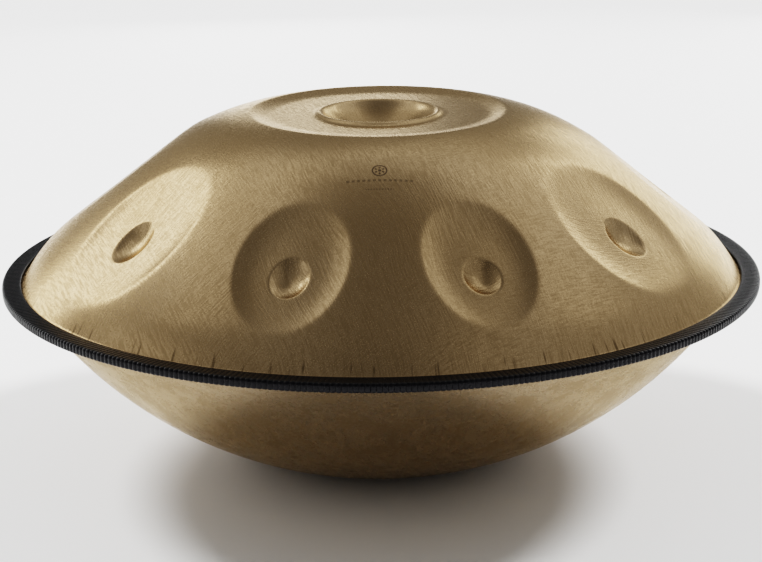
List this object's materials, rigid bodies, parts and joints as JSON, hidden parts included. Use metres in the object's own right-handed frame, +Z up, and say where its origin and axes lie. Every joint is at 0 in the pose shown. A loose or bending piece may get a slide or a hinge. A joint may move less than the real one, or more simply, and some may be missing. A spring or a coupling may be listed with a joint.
{
  "type": "handpan",
  "caption": "Steel handpan: a hammered upper shell with a dimpled centre note and a ring of oval notes, glued to a bowl-shaped lower shell with a round port, with a ribbed black edge trim.",
  "frame": {"origin": "on the floor under the centre of the drum, in the plane of the resting ring round the port", "axes": "+Z up along the drum's axis, through the centre of the ding; +X to the right and the front towards -Y, with the butt joint of the edge trim at +Y"},
  "size_m": [0.536, 0.536, 0.2464],
  "materials": {
    "bronze_shell_upper": "heat-coloured bronze steel with fine hand-brushed hatching, satin",
    "bronze_shell_lower": "heat-coloured bronze steel brushed round the bowl, satin",
    "adhesive": "cured two-part epoxy",
    "trim_rubber": "ribbed, leather-grained black trim, satin",
    "clip_steel": "plain spring steel strip, hidden in the trim"
  },
  "bodies": {
    "root": {"ding_shell": "bronze_shell_upper", "gu_shell": "bronze_shell_lower", "rim_adhesive": "adhesive", "trim_cover": "trim_rubber", "trim_clip_core": "clip_steel"}
  },
  "joints": []
}
